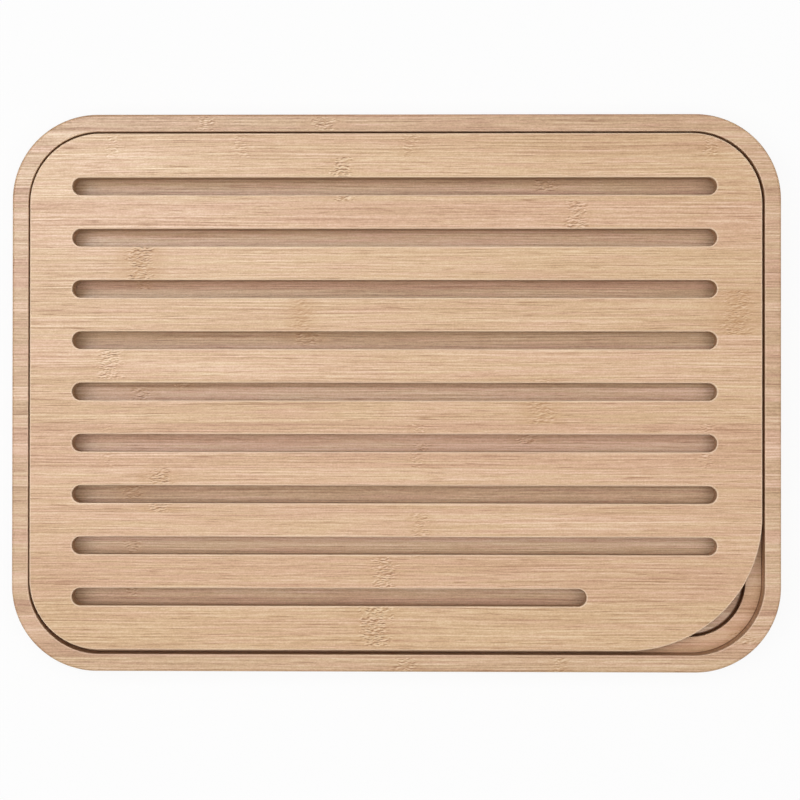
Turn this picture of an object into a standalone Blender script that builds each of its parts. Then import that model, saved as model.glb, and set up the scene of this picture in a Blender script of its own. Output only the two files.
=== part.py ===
"""Bamboo bread board: a slotted grid lies on a ledge inside a crumb tray and lifts out at one wide corner.

Metres, +Z up, +X along the board. The origin is under the middle of the board, on the surface it stands on.
"""

import math
from collections import namedtuple

import bmesh
import bpy

# Board outline, seen from above
BOARD_LENGTH = 0.400
BOARD_WIDTH = 0.290
BOARD_CORNER_RADIUS = 0.0445

# Rim round the grid, and how much tighter its inner corners are than the board's
RIM_END_WIDTH = 0.0085
RIM_SIDE_WIDTH = 0.009
RIM_CORNER_STEP = 0.0073

# Levels milled into the tray, from the bottom up
FLOOR_THICKNESS = 0.0057
CRUMB_DEPTH = 0.006
LEDGE_WIDTH = 0.0085
CRUMB_COVE_RADIUS = 0.0008

# Grid, its play in the rim and where it lies in that play
GRID_THICKNESS = 0.010
GRID_PLAY_LENGTHWISE = 0.002
GRID_PLAY_CROSSWISE = 0.003
GRID_REST_X_SHARE = -0.15
GRID_REST_Y_SHARE = 0.2
LIFTING_CORNER_RADIUS = 0.0695

# Slots that let the crumbs fall through
SLOT_COUNT = 9
SLOT_WIDTH = 0.009
SLOT_LEFT_MARGIN = 0.0222
SLOT_RIGHT_MARGIN = 0.0235
SLOT_SIDE_MARGIN = 0.0276
SLOT_CORNER_MARGIN = 0.0215

# Rubber feet, glued into round pockets under the tray
FOOT_DIAMETER = 0.014
FOOT_POCKET_DEPTH = 0.0012
FOOT_POCKET_PLAY = 0.0008
FOOT_STAND = 0.002
FOOT_EDGE_RADIUS = 0.0007
FOOT_INSET = 0.030

# Rounded edges and the gap between faces that rest on each other
OUTER_EDGE_RADIUS = 0.0012
INNER_EDGE_RADIUS = 0.0005
SEAT_GAP = 0.0003
CUT_OVERRUN = 0.002

# Fineness of curves
CORNER_STEPS = 14
LIFTING_CORNER_STEPS = 18
SLOT_END_STEPS = 10
OUTER_EDGE_STEPS = 3
INNER_EDGE_STEPS = 2
FOOT_STEPS = 32
SMOOTH_ANGLE = math.radians(35)

# Places worked out from the sizes above
RECESS_LENGTH = BOARD_LENGTH - 2 * RIM_END_WIDTH
RECESS_WIDTH = BOARD_WIDTH - 2 * RIM_SIDE_WIDTH
RECESS_CORNER_RADIUS = BOARD_CORNER_RADIUS - RIM_CORNER_STEP
LEDGE_HEIGHT = FLOOR_THICKNESS + CRUMB_DEPTH
TRAY_HEIGHT = LEDGE_HEIGHT + SEAT_GAP + GRID_THICKNESS

GRID_LENGTH = RECESS_LENGTH - GRID_PLAY_LENGTHWISE
GRID_WIDTH = RECESS_WIDTH - GRID_PLAY_CROSSWISE
GRID_CORNER_RADIUS = RECESS_CORNER_RADIUS - GRID_PLAY_LENGTHWISE / 4
GRID_X = GRID_PLAY_LENGTHWISE * GRID_REST_X_SHARE
GRID_Y = GRID_PLAY_CROSSWISE * GRID_REST_Y_SHARE
SLOT_PITCH = (GRID_WIDTH - 2 * SLOT_SIDE_MARGIN) / (SLOT_COUNT - 1)

FOOT_X = BOARD_LENGTH / 2 - FOOT_INSET
FOOT_Y = BOARD_WIDTH / 2 - FOOT_INSET
FOOT_HEIGHT = FOOT_STAND + FOOT_POCKET_DEPTH - SEAT_GAP

Arc = namedtuple("Arc", "x y radius start sweep steps")


def clear_scene():
    """Remove whatever the file holds."""
    for old in list(bpy.data.objects):
        bpy.data.objects.remove(old, do_unlink=True)


def linear_colour(hex_colour):
    """Linear RGBA of an sRGB colour written as six hex digits."""
    channels = [int(hex_colour[i:i + 2], 16) / 255 for i in (0, 2, 4)]
    return [c / 12.92 if c <= 0.04045 else ((c + 0.055) / 1.055) ** 2.4 for c in channels] + [1.0]


def plain_material(name, hex_colour, roughness):
    """Non-metallic Principled material of one colour."""
    material = bpy.data.materials.new(name)
    material.use_nodes = True
    shader = material.node_tree.nodes["Principled BSDF"]
    shader.inputs["Base Color"].default_value = linear_colour(hex_colour)
    shader.inputs["Roughness"].default_value = roughness
    shader.inputs["Metallic"].default_value = 0.0
    return material


def strip_bamboo():
    """Narrow bamboo strips on edge, lightly oiled, a little pinker than the grid."""
    return plain_material("strip_bamboo", "D4B196", 0.52)


def stave_bamboo():
    """Wide, flat bamboo staves, lightly oiled."""
    return plain_material("stave_bamboo", "DBB99C", 0.5)


def foot_rubber():
    """Dark, matt rubber."""
    return plain_material("foot_rubber", "35322F", 0.8)


def corner_arcs(length, width, radius, front_right_radius=None, front_right_steps=CORNER_STEPS):
    """Corners of a rounded rectangle about the origin, anticlockwise from the back right one.

    The front right corner may have a radius of its own.
    """
    last_radius = radius if front_right_radius is None else front_right_radius
    signs = ((1, 1), (-1, 1), (-1, -1), (1, -1))
    radii = (radius, radius, radius, last_radius)
    steps = (CORNER_STEPS, CORNER_STEPS, CORNER_STEPS, front_right_steps)
    quarter = math.pi / 2
    return [
        Arc(sx * (length / 2 - r), sy * (width / 2 - r), r, turn * quarter, quarter, count)
        for turn, ((sx, sy), r, count) in enumerate(zip(signs, radii, steps))
    ]


def slot_arcs(left, right, y):
    """Round ends of a slot that runs from left to right."""
    end_radius = SLOT_WIDTH / 2
    quarter = math.pi / 2
    return [
        Arc(right - end_radius, y, end_radius, -quarter, math.pi, SLOT_END_STEPS),
        Arc(left + end_radius, y, end_radius, quarter, math.pi, SLOT_END_STEPS),
    ]


def ring(bm, arcs, inset, z):
    """Closed loop of vertices through the arcs, each drawn in towards its centre by the inset."""
    vertices = []
    for arc in arcs:
        reach = arc.radius - inset
        for step in range(arc.steps + 1):
            angle = arc.start + arc.sweep * step / arc.steps
            vertices.append(bm.verts.new((arc.x + reach * math.cos(angle), arc.y + reach * math.sin(angle), z)))
    return vertices


def loft(bm, rings):
    """Skin between each ring and the next."""
    for lower, upper in zip(rings, rings[1:]):
        for i, vertex in enumerate(lower):
            bm.faces.new((lower[i - 1], vertex, upper[i], upper[i - 1]))


def eased(radius, steps):
    """(inset, drop from the face) along a rounded edge, from the wall to the face."""
    turns = [math.pi / 2 * step / steps for step in range(steps + 1)]
    return [(radius * (1 - math.cos(turn)), radius * (1 - math.sin(turn))) for turn in turns]


def wall_rings(bm, arcs, low, high, radius, steps, outward=1):
    """Rings up a wall whose lower and upper edges are rounded; outward is -1 round a hole."""
    edge = eased(radius, steps)
    lower = [ring(bm, arcs, outward * inset, low + drop) for inset, drop in reversed(edge)]
    upper = [ring(bm, arcs, outward * inset, high - drop) for inset, drop in edge]
    return lower + upper


def loop_edges(bm, vertices):
    """Edges of one ring."""
    return [bm.edges.get((vertices[i - 1], vertex)) for i, vertex in enumerate(vertices)]


def finish_mesh(bm, name, material):
    """Object holding the bmesh, faces out and smooth across small angles."""
    bmesh.ops.recalc_face_normals(bm, faces=bm.faces)
    mesh = bpy.data.meshes.new(name)
    bm.to_mesh(mesh)
    bm.free()
    mesh.materials.append(material)
    mesh.shade_smooth()
    mesh.set_sharp_from_angle(angle=SMOOTH_ANGLE)
    piece = bpy.data.objects.new(name, mesh)
    bpy.context.collection.objects.link(piece)
    return piece


def place(piece, parent, location):
    """Hang a piece on its parent at a location in the parent's own axes."""
    piece.parent = parent
    piece.location = location


def foot_places():
    """Centres of the feet, seen from above, with the name of each corner."""
    return [
        ("front_left", -FOOT_X, -FOOT_Y),
        ("front_right", FOOT_X, -FOOT_Y),
        ("back_left", -FOOT_X, FOOT_Y),
        ("back_right", FOOT_X, FOOT_Y),
    ]


def foot_pocket_cutter():
    """Round drills for the foot pockets, started below the tray's underside."""
    bm = bmesh.new()
    for _, x, y in foot_places():
        drill = bmesh.ops.create_cone(
            bm,
            cap_ends=True,
            segments=FOOT_STEPS,
            radius1=(FOOT_DIAMETER + FOOT_POCKET_PLAY) / 2,
            radius2=(FOOT_DIAMETER + FOOT_POCKET_PLAY) / 2,
            depth=FOOT_POCKET_DEPTH + CUT_OVERRUN,
        )
        bmesh.ops.translate(bm, verts=drill["verts"], vec=(x, y, (FOOT_POCKET_DEPTH - CUT_OVERRUN) / 2))
    cutter = finish_mesh(bm, "foot_pocket_cutter", foot_rubber())
    cutter.hide_render = True
    cutter.display_type = "WIRE"
    return cutter


def cut(piece, cutter):
    """Take the cutter's volume out of a piece."""
    modifier = piece.modifiers.new(cutter.name, "BOOLEAN")
    modifier.operation = "DIFFERENCE"
    modifier.solver = "EXACT"
    modifier.object = cutter


def crumb_tray(board):
    """Tray milled from one panel: rim, ledge for the grid, and a lower floor with coved corners."""
    outer = corner_arcs(BOARD_LENGTH, BOARD_WIDTH, BOARD_CORNER_RADIUS)
    recess = corner_arcs(RECESS_LENGTH, RECESS_WIDTH, RECESS_CORNER_RADIUS)
    edge = eased(INNER_EDGE_RADIUS, INNER_EDGE_STEPS)
    cove = eased(CRUMB_COVE_RADIUS, INNER_EDGE_STEPS)

    bm = bmesh.new()
    rings = wall_rings(bm, outer, 0, TRAY_HEIGHT, OUTER_EDGE_RADIUS, OUTER_EDGE_STEPS)
    rings += [ring(bm, recess, -inset, TRAY_HEIGHT - drop) for inset, drop in reversed(edge)]
    rings.append(ring(bm, recess, 0, LEDGE_HEIGHT))
    rings += [ring(bm, recess, LEDGE_WIDTH - inset, LEDGE_HEIGHT - drop) for inset, drop in reversed(edge)]
    rings += [ring(bm, recess, LEDGE_WIDTH + inset, FLOOR_THICKNESS + drop) for inset, drop in cove]
    loft(bm, rings)
    bm.faces.new(rings[0])
    bm.faces.new(rings[-1])

    tray = finish_mesh(bm, "crumb_tray", strip_bamboo())
    place(tray, board, (0, 0, FOOT_STAND))
    cutter = foot_pocket_cutter()
    place(cutter, tray, (0, 0, 0))
    cut(tray, cutter)
    return tray


def slot_outlines():
    """Arcs of every slot; the front one stops short of the lifting corner."""
    left = SLOT_LEFT_MARGIN - GRID_LENGTH / 2
    full_right = GRID_LENGTH / 2 - SLOT_RIGHT_MARGIN
    short_right = GRID_LENGTH / 2 - LIFTING_CORNER_RADIUS - SLOT_CORNER_MARGIN
    front_y = SLOT_SIDE_MARGIN - GRID_WIDTH / 2
    outlines = [slot_arcs(left, short_right, front_y)]
    for row in range(1, SLOT_COUNT):
        outlines.append(slot_arcs(left, full_right, front_y + row * SLOT_PITCH))
    return outlines


def bread_grid(board):
    """Slotted board with eased edges; its widely rounded front right corner leaves room for a finger."""
    outline = corner_arcs(
        GRID_LENGTH, GRID_WIDTH, GRID_CORNER_RADIUS, LIFTING_CORNER_RADIUS, LIFTING_CORNER_STEPS
    )
    bm = bmesh.new()
    walls = [wall_rings(bm, outline, 0, GRID_THICKNESS, INNER_EDGE_RADIUS, INNER_EDGE_STEPS)]
    for slot in slot_outlines():
        walls.append(wall_rings(bm, slot, 0, GRID_THICKNESS, INNER_EDGE_RADIUS, INNER_EDGE_STEPS, outward=-1))
    for rings in walls:
        loft(bm, rings)
    for end in (0, -1):
        borders = [edge for rings in walls for edge in loop_edges(bm, rings[end])]
        bmesh.ops.triangle_fill(bm, use_beauty=True, edges=borders)

    grid = finish_mesh(bm, "bread_grid", stave_bamboo())
    place(grid, board, (GRID_X, GRID_Y, FOOT_STAND + LEDGE_HEIGHT + SEAT_GAP))
    return grid


def rubber_foot(name, tray, material, x, y):
    """Round pad with a rounded lower edge, seated in its pocket."""
    bm = bmesh.new()
    bmesh.ops.create_cone(
        bm,
        cap_ends=True,
        segments=FOOT_STEPS,
        radius1=FOOT_DIAMETER / 2,
        radius2=FOOT_DIAMETER / 2,
        depth=FOOT_HEIGHT,
    )
    bmesh.ops.translate(bm, verts=bm.verts, vec=(0, 0, FOOT_HEIGHT / 2 - FOOT_STAND))
    lower_edges = [edge for edge in bm.edges if all(vertex.co.z < -FOOT_STAND / 2 for vertex in edge.verts)]
    bmesh.ops.bevel(
        bm,
        geom=lower_edges,
        offset=FOOT_EDGE_RADIUS,
        segments=OUTER_EDGE_STEPS,
        profile=0.5,
        affect="EDGES",
    )
    foot = finish_mesh(bm, name, material)
    place(foot, tray, (x, y, 0))
    return foot


def main():
    """Build the board: tray, feet and grid."""
    clear_scene()
    board = bpy.data.objects.new("bread_board", None)
    bpy.context.collection.objects.link(board)
    tray = crumb_tray(board)
    rubber = foot_rubber()
    for corner, x, y in foot_places():
        rubber_foot(f"foot_{corner}", tray, rubber, x, y)
    bread_grid(board)
    bpy.context.view_layer.update()


main()
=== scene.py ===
"""Looks of a bamboo bread board: a slotted grid in a crumb tray, seen from straight above on white."""

import logging
import math
from dataclasses import dataclass, field
from enum import Enum
from typing import Any, Sequence

import bmesh
import bpy
from mathutils import Euler, Matrix, Vector


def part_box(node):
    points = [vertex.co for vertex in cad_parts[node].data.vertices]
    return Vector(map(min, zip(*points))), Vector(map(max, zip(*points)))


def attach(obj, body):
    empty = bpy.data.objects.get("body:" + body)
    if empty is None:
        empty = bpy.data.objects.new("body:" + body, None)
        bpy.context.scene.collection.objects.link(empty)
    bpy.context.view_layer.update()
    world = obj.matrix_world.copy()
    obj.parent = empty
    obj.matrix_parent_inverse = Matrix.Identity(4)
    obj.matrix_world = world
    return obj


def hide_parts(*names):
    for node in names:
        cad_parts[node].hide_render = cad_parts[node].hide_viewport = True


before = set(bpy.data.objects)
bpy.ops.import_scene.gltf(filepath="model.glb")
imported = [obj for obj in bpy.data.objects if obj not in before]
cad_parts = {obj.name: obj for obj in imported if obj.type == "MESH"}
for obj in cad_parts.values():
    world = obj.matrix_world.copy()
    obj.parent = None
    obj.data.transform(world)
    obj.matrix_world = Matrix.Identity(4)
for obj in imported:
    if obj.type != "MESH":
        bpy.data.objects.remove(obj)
log = logging.getLogger("bread_board")

MM = 0.001
PICTURE_SIDE_PX = 800
SENSOR_MM = 36.0

MATH = "ShaderNodeMath"
VECTOR = "ShaderNodeVectorMath"
MIX = "ShaderNodeMix"
RANGE = "ShaderNodeMapRange"
COMBINE = "ShaderNodeCombineXYZ"
JOIN = "GeometryNodeJoinGeometry"
TRANSFORM = "GeometryNodeTransform"
WELD_MM = 0.05
SHARP_DEGREES = 40

Tree = bpy.types.NodeTree
Node = bpy.types.Node
Ring = list[bmesh.types.BMVert]
Sockets = dict[str | int, Any]
Masks = dict[str, Any]


def linear(hex_colour: str) -> tuple[float, float, float, float]:
    """Turn an sRGB hex colour into linear RGBA.

    Args:
        hex_colour: Six hex digits.

    Returns:
        The opaque colour as the shaders read it.
    """
    channels = [int(hex_colour[i:i + 2], 16) / 255 for i in (0, 2, 4)]
    red, green, blue = (c / 12.92 if c <= 0.04045 else ((c + 0.055) / 1.055) ** 2.4 for c in channels)
    return red, green, blue, 1.0


def add_node(tree: Tree, kind: str, inputs: Sockets | None = None, **settings: Any) -> Node:
    """Add one node, set its properties and fill its inputs.

    Args:
        tree: Node tree that gets the node.
        kind: Blender's name for the node type.
        inputs: By the input's name or number, a value, an output socket, or a node whose first enabled
            output is linked.
        settings: Properties of the node itself.

    Returns:
        The new node.
    """
    node = tree.nodes.new(kind)
    for name, value in settings.items():
        setattr(node, name, value)
    for key, value in (inputs or {}).items():
        if isinstance(key, int):
            socket = node.inputs[key]
        else:
            socket = next(entry for entry in node.inputs if entry.name == key and entry.enabled)
        if isinstance(value, Node):
            value = next(output for output in value.outputs if output.enabled)
        if isinstance(value, bpy.types.NodeSocket):
            tree.links.new(value, socket)
        else:
            socket.default_value = value
    return node


def new_material(name: str) -> bpy.types.Material:
    """Make a material with an empty node tree.

    Args:
        name: Name of the finish.

    Returns:
        The material.
    """
    material = bpy.data.materials.new(name)
    material.use_nodes = True
    material.node_tree.nodes.clear()
    return material


class Attribute(Enum):
    """Names of the mesh attributes that the finishes read."""

    # EDGE: a painted highlight, the eased edges drawn paler than the wood.
    EDGE = "eased_edge"
    # CUT: darker milled surfaces, partly router scorching on the walls, partly painted shade at the walls'
    # feet, across the ledge and in the step.
    CUT = "milled_wall"


@dataclass(frozen=True)
class Grain:
    """One layer of noise: how long and wide its streaks are, how strongly they show, and its octaves."""

    length_mm: float
    width_mm: float
    strength: float = 1.0
    detail: float = 1.0


@dataclass(frozen=True)
class Knuckle:
    """A joint of the bamboo stalk across one lamella; a ply further down adds PLY_STEP to its number."""

    lamella: int
    x_mm: float
    length_mm: float
    tint: float
    crumple: float


RIPPLE = Grain(5.0, 3.2, 1.0, 2.0)
DRIFT = Grain(110.0, 22.0, 1.8, 0.0)
FLAME = Grain(14.0, 5.0)
FLAMING = Grain(60.0, 9.0, 1.0, 0.0)
VEINS = Grain(70.0, 1.7)
GROVES = Grain(120.0, 6.0)
PATCHES = Grain(45.0, 1.9)
DASHES = Grain(15.0, 0.5, 1.0, 0.0)
WANDER = Grain(90.0, 3.2, 1.0, 0.0)
LIVELY = Grain(40.0, 2.4, 1.0, 0.0)
CRINKLES = Grain(3.2, 0.8, 1.0, 1.0)

PLY_STEP = 101.0
LAMELLA_SPREAD_MM = (900.0, 370.0, 230.0)
RIDGE_LIGHT_MM = (0.35, -0.45, 0.0)


@dataclass(frozen=True)
class OiledBamboo:
    """Laminated bamboo, planed, sanded and lightly oiled.

    Bamboo has straight fibres that run the whole length of a lamella, so the eye sees fine streaks, a step of
    tone at each glue line, and a knuckle with crinkled fibres and small pores wherever the stalk had a joint.
    """

    name: str
    dark: str
    base: str
    pale: str
    pink_wash: str
    honey_wash: str
    lamella_mm: float
    first_seam_mm: float
    ply_mm: float
    ply_shift_mm: float
    top_mm: float
    layers: tuple[Grain, ...]
    knuckles: tuple[Knuckle, ...]
    vein_strength: float
    lamella_tone: float
    lamella_slope: float
    seam_strength: float
    # How far the milled surfaces darken: router scorching with painted shade.
    scorch_and_shade: float
    seed: float
    rough_dark: float = 0.49
    rough_pale: float = 0.35
    relief_mm: float = 0.06
    relief_strength: float = 0.35
    oil_ior: float = 1.45
    # Real fibre bundles lie about 0.5 mm apart, too fine for the picture, so the threads are drawn coarser.
    thread_mm: float = 1.7
    thread_strength: float = 0.16
    thread_wander: float = 1.3
    seam_mm: float = 0.25
    ragged_mm: float = 15.0
    swing_mm: float = 2.2
    ridge_bend_mm: float = 2.4
    relief_gain: float = 5.6
    tan_gain: float = 1.3
    dash_gain: float = 1.6
    scorch_and_shade_cover: float = 1.5
    core_share: float = 0.3
    halo_shares: tuple[float, float] = (1.7, 0.2)
    flame_widths: tuple[float, float] = (0.05, 0.4)
    hue_spread: float = 0.4
    pore_relief: tuple[float, float] = (-0.5, -1.2)
    pore_cover: float = 0.9
    # Share of the pale colour painted on the eased edges as a highlight.
    painted_edge_highlight: float = 0.5
    knuckle_tan: str = "C0905C"
    pore: str = "7F5430"
    # Browns of router scorching and of the painted shade on the milled surfaces.
    light_scorch_and_shade: str = "B47F45"
    deep_scorch_and_shade: str = "4F2A0E"

    def build(self) -> bpy.types.Material:
        """Make the material.

        Returns:
            The finished material.
        """
        material = new_material(self.name)
        tree = material.node_tree
        place = add_node(tree, "ShaderNodeTexCoord")
        point = add_node(tree, VECTOR, {0: place.outputs["Object"], "Scale": 1 / MM}, operation="SCALE")
        axes = add_node(tree, "ShaderNodeSeparateXYZ", {0: point})
        lamella, within = self._lamellae(tree, axes)
        chance = add_node(tree, "ShaderNodeTexWhiteNoise", {"W": lamella}, noise_dimensions="1D")
        ripple = self._layer(tree, point, RIPPLE)
        knuckle = self._knuckles(tree, axes, lamella, ripple)
        fibres = self._fibre_space(tree, point, axes, chance, knuckle, ripple)
        relief = self._crinkle(tree, point, knuckle, ripple)
        tone = self._tone(tree, fibres, chance, within, relief)
        colour = self._colour(tree, fibres, chance, tone)
        colour = self._mark_knuckles(tree, colour, knuckle, relief)
        colour = self._shade_cuts(tree, colour, within)
        self._surface(tree, colour, tone)
        return material

    def _layer(self, tree: Tree, point: Node, grain: Grain) -> Node:
        """Lay streaks of one grain along the fibres.

        Args:
            tree: Material's node tree.
            point: Coordinates in millimetres.
            grain: Size and strength of the streaks.

        Returns:
            Streaks around zero, up to half their strength either way.
        """
        scale = (1 / grain.length_mm, 1 / grain.width_mm, 1 / grain.width_mm)
        stretched = add_node(tree, VECTOR, {0: point, 1: scale}, operation="MULTIPLY")
        streaks = add_node(
            tree, "ShaderNodeTexNoise",
            {"Vector": stretched, "Scale": 1.0, "Detail": grain.detail, "Roughness": 0.6},
        )
        return add_node(
            tree, MATH, {0: streaks, 1: grain.strength, 2: -grain.strength / 2}, operation="MULTIPLY_ADD"
        )

    def _lamellae(self, tree: Tree, axes: Node) -> tuple[Node, Node]:
        """Number each lamella.

        Args:
            tree: Material's node tree.
            axes: Separated coordinates in millimetres.

        Returns:
            The lamella's number, with PLY_STEP more for each ply further down, and the share of its width,
            from 0 to 1.
        """
        depth = add_node(tree, MATH, {0: self.top_mm, 1: axes.outputs["Z"]}, operation="SUBTRACT")
        plies = add_node(tree, MATH, {0: depth, 1: self.ply_mm}, operation="DIVIDE")
        whole = add_node(tree, MATH, {0: plies}, operation="FLOOR")
        ply = add_node(tree, MATH, {0: whole, 1: 0.0}, operation="MAXIMUM")
        start = add_node(
            tree, MATH, {0: ply, 1: self.ply_shift_mm, 2: self.first_seam_mm}, operation="MULTIPLY_ADD"
        )
        across = add_node(tree, MATH, {0: axes.outputs["Y"], 1: start}, operation="SUBTRACT")
        turns = add_node(tree, MATH, {0: across, 1: self.lamella_mm}, operation="DIVIDE")
        number = add_node(tree, MATH, {0: turns}, operation="FLOOR")
        lamella = add_node(tree, MATH, {0: ply, 1: PLY_STEP, 2: number}, operation="MULTIPLY_ADD")
        return lamella, add_node(tree, MATH, {0: turns}, operation="FRACT")

    def _knuckles(self, tree: Tree, axes: Node, lamella: Node, ripple: Node) -> Masks:
        """Lay ragged masks over each knuckle.

        Args:
            tree: Material's node tree.
            axes: Separated coordinates in millimetres.
            lamella: Number of the lamella.
            ripple: Noise that makes the borders ragged.

        Returns:
            Masks from 0 to 1: how far a knuckle tans the wood, and how far it crinkles the fibres.
        """
        x = add_node(
            tree, MATH, {0: ripple, 1: self.ragged_mm, 2: axes.outputs["X"]}, operation="MULTIPLY_ADD"
        )
        masks: Masks = {"tan": 0.0, "crinkle": 0.0}
        wide, full = self.halo_shares
        for knuckle in self.knuckles:
            length = knuckle.length_mm
            here = add_node(
                tree, MATH, {0: lamella, 1: float(knuckle.lamella), 2: 0.1}, operation="COMPARE"
            )
            aside = add_node(tree, MATH, {0: x, 1: knuckle.x_mm}, operation="SUBTRACT")
            away = add_node(tree, MATH, {0: aside}, operation="ABSOLUTE")
            hill = add_node(
                tree, RANGE,
                {"Value": away, "From Min": length, "From Max": length * self.core_share},
                interpolation_type="SMOOTHSTEP",
            )
            halo = add_node(
                tree, RANGE,
                {"Value": away, "From Min": length * wide, "From Max": length * full},
            )
            for part, shape, share in (("tan", halo, knuckle.tint), ("crinkle", hill, knuckle.crumple)):
                spot = add_node(tree, MATH, {0: here, 1: shape}, operation="MULTIPLY")
                masks[part] = add_node(
                    tree, MATH, {0: spot, 1: share, 2: masks[part]}, operation="MULTIPLY_ADD"
                )
        return masks

    def _fibre_space(
        self, tree: Tree, point: Node, axes: Node, chance: Node, knuckle: Masks, ripple: Node
    ) -> Node:
        """Bend the coordinates as the fibres run, and start them afresh in each lamella.

        Args:
            tree: Material's node tree.
            point: Coordinates in millimetres.
            axes: The same, separated.
            chance: Chance values of the lamella.
            knuckle: Masks of the knuckles.
            ripple: Short noise that crinkles the fibres there.

        Returns:
            Coordinates in millimetres along and across the fibres.
        """
        flaming = add_node(
            tree, RANGE,
            {"Value": self._layer(tree, point, FLAMING), "From Min": 0.05, "From Max": 0.2,
             "To Min": self.flame_widths[0], "To Max": self.flame_widths[1]},
        )
        drift = self._layer(tree, point, DRIFT)
        flame = self._layer(tree, point, FLAME)
        swing = add_node(tree, MATH, {0: knuckle["crinkle"], 1: self.swing_mm}, operation="MULTIPLY")
        across = add_node(tree, MATH, {0: axes.outputs["Y"], 1: drift}, operation="ADD")
        across = add_node(tree, MATH, {0: flame, 1: flaming, 2: across}, operation="MULTIPLY_ADD")
        across = add_node(tree, MATH, {0: ripple, 1: swing, 2: across}, operation="MULTIPLY_ADD")
        bent = add_node(tree, COMBINE, {"X": axes.outputs["X"], "Y": across, "Z": axes.outputs["Z"]})
        spread = (LAMELLA_SPREAD_MM[0] + self.seed, *LAMELLA_SPREAD_MM[1:])
        return add_node(
            tree, VECTOR, {0: chance.outputs["Color"], 1: spread, 2: bent},
            operation="MULTIPLY_ADD",
        )

    def _crinkle(self, tree: Tree, point: Node, knuckle: Masks, ripple: Node) -> Node:
        """Crinkled fibres of a knuckle, as ridges lit from one side.

        Args:
            tree: Material's node tree.
            point: Coordinates in millimetres.
            knuckle: Masks of the knuckles.
            ripple: Noise that bends the ridges.

        Returns:
            Relief around zero: above it the lit side of a ridge, below it the side in shade.
        """
        bend = add_node(tree, COMBINE, {"Y": ripple})
        bent = add_node(
            tree, VECTOR, {0: bend, 1: (0.0, self.ridge_bend_mm, 0.0), 2: point}, operation="MULTIPLY_ADD"
        )
        moved = add_node(tree, VECTOR, {0: bent, 1: RIDGE_LIGHT_MM}, operation="ADD")
        lit = self._layer(tree, bent, CRINKLES)
        shaded = self._layer(tree, moved, CRINKLES)
        slope = add_node(tree, MATH, {0: lit, 1: shaded}, operation="SUBTRACT")
        strength = add_node(tree, MATH, {0: knuckle["crinkle"], 1: self.relief_gain}, operation="MULTIPLY")
        return add_node(tree, MATH, {0: slope, 1: strength}, operation="MULTIPLY")

    def _tone(self, tree: Tree, fibres: Node, chance: Node, within: Node, relief: Node) -> Node:
        """Add up fibres, veins, dashes, the lamella's own tone and the knuckles' painted ridge light.

        Args:
            tree: Material's node tree.
            fibres: Coordinates along the fibres in millimetres.
            chance: Chance values of the lamella.
            within: Share of the lamella's width.
            relief: Painted light and shade of the knuckles' crinkled ridges.

        Returns:
            Tone from 0, dark, over 0.5, plain, to 1, pale.
        """
        parts = add_node(tree, "ShaderNodeSeparateColor", {0: chance.outputs["Color"]})
        own = add_node(tree, MATH, {0: parts.outputs["Red"], 1: 0.5}, operation="SUBTRACT")
        tone = add_node(tree, MATH, {0: own, 1: self.lamella_tone, 2: 0.5}, operation="MULTIPLY_ADD")
        lean = add_node(tree, MATH, {0: parts.outputs["Blue"], 1: 0.5}, operation="SUBTRACT")
        slope = add_node(tree, MATH, {0: lean, 1: 2 * self.lamella_slope}, operation="MULTIPLY")
        aside = add_node(tree, MATH, {0: within, 1: 0.5}, operation="SUBTRACT")
        tone = add_node(tree, MATH, {0: aside, 1: slope, 2: tone}, operation="MULTIPLY_ADD")
        for grain in self.layers:
            tone = add_node(tree, MATH, {0: self._layer(tree, fibres, grain), 1: tone}, operation="ADD")
        tone = add_node(tree, MATH, {0: self._threads(tree, fibres), 1: tone}, operation="ADD")
        away = add_node(tree, MATH, {0: self._layer(tree, fibres, VEINS)}, operation="ABSOLUTE")
        vein = add_node(tree, RANGE, {"Value": away, "From Min": 0.05, "From Max": 0.0})
        grove = add_node(
            tree, RANGE, {"Value": self._layer(tree, fibres, GROVES), "From Min": -0.05, "From Max": 0.15}
        )
        veins = add_node(tree, MATH, {0: vein, 1: grove}, operation="MULTIPLY")
        tone = add_node(tree, MATH, {0: veins, 1: -self.vein_strength, 2: tone}, operation="MULTIPLY_ADD")
        dash = add_node(
            tree, RANGE, {"Value": self._layer(tree, fibres, DASHES), "From Min": 0.17, "From Max": 0.3}
        )
        tone = add_node(
            tree, MATH, {0: dash, 1: -self.dash_gain * self.vein_strength, 2: tone}, operation="MULTIPLY_ADD"
        )
        return add_node(tree, MATH, {0: tone, 1: relief}, operation="ADD")

    def _threads(self, tree: Tree, fibres: Node) -> Node:
        """Draw fine parallel threads that wander closer and further apart, and fade in and out.

        Args:
            tree: Material's node tree.
            fibres: Coordinates along the fibres in millimetres.

        Returns:
            Threads around zero.
        """
        axes = add_node(tree, "ShaderNodeSeparateXYZ", {0: fibres})
        phase = add_node(
            tree, MATH, {0: axes.outputs["Y"], 1: math.tau / self.thread_mm}, operation="MULTIPLY"
        )
        wander = self._layer(tree, fibres, WANDER)
        phase = add_node(
            tree, MATH, {0: wander, 1: self.thread_wander * math.tau, 2: phase}, operation="MULTIPLY_ADD"
        )
        wave = add_node(tree, MATH, {0: phase}, operation="SINE")
        lively = add_node(
            tree, RANGE,
            {"Value": self._layer(tree, fibres, LIVELY), "From Min": -0.2, "From Max": 0.2,
             "To Max": self.thread_strength},
        )
        return add_node(tree, MATH, {0: wave, 1: lively}, operation="MULTIPLY")

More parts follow.
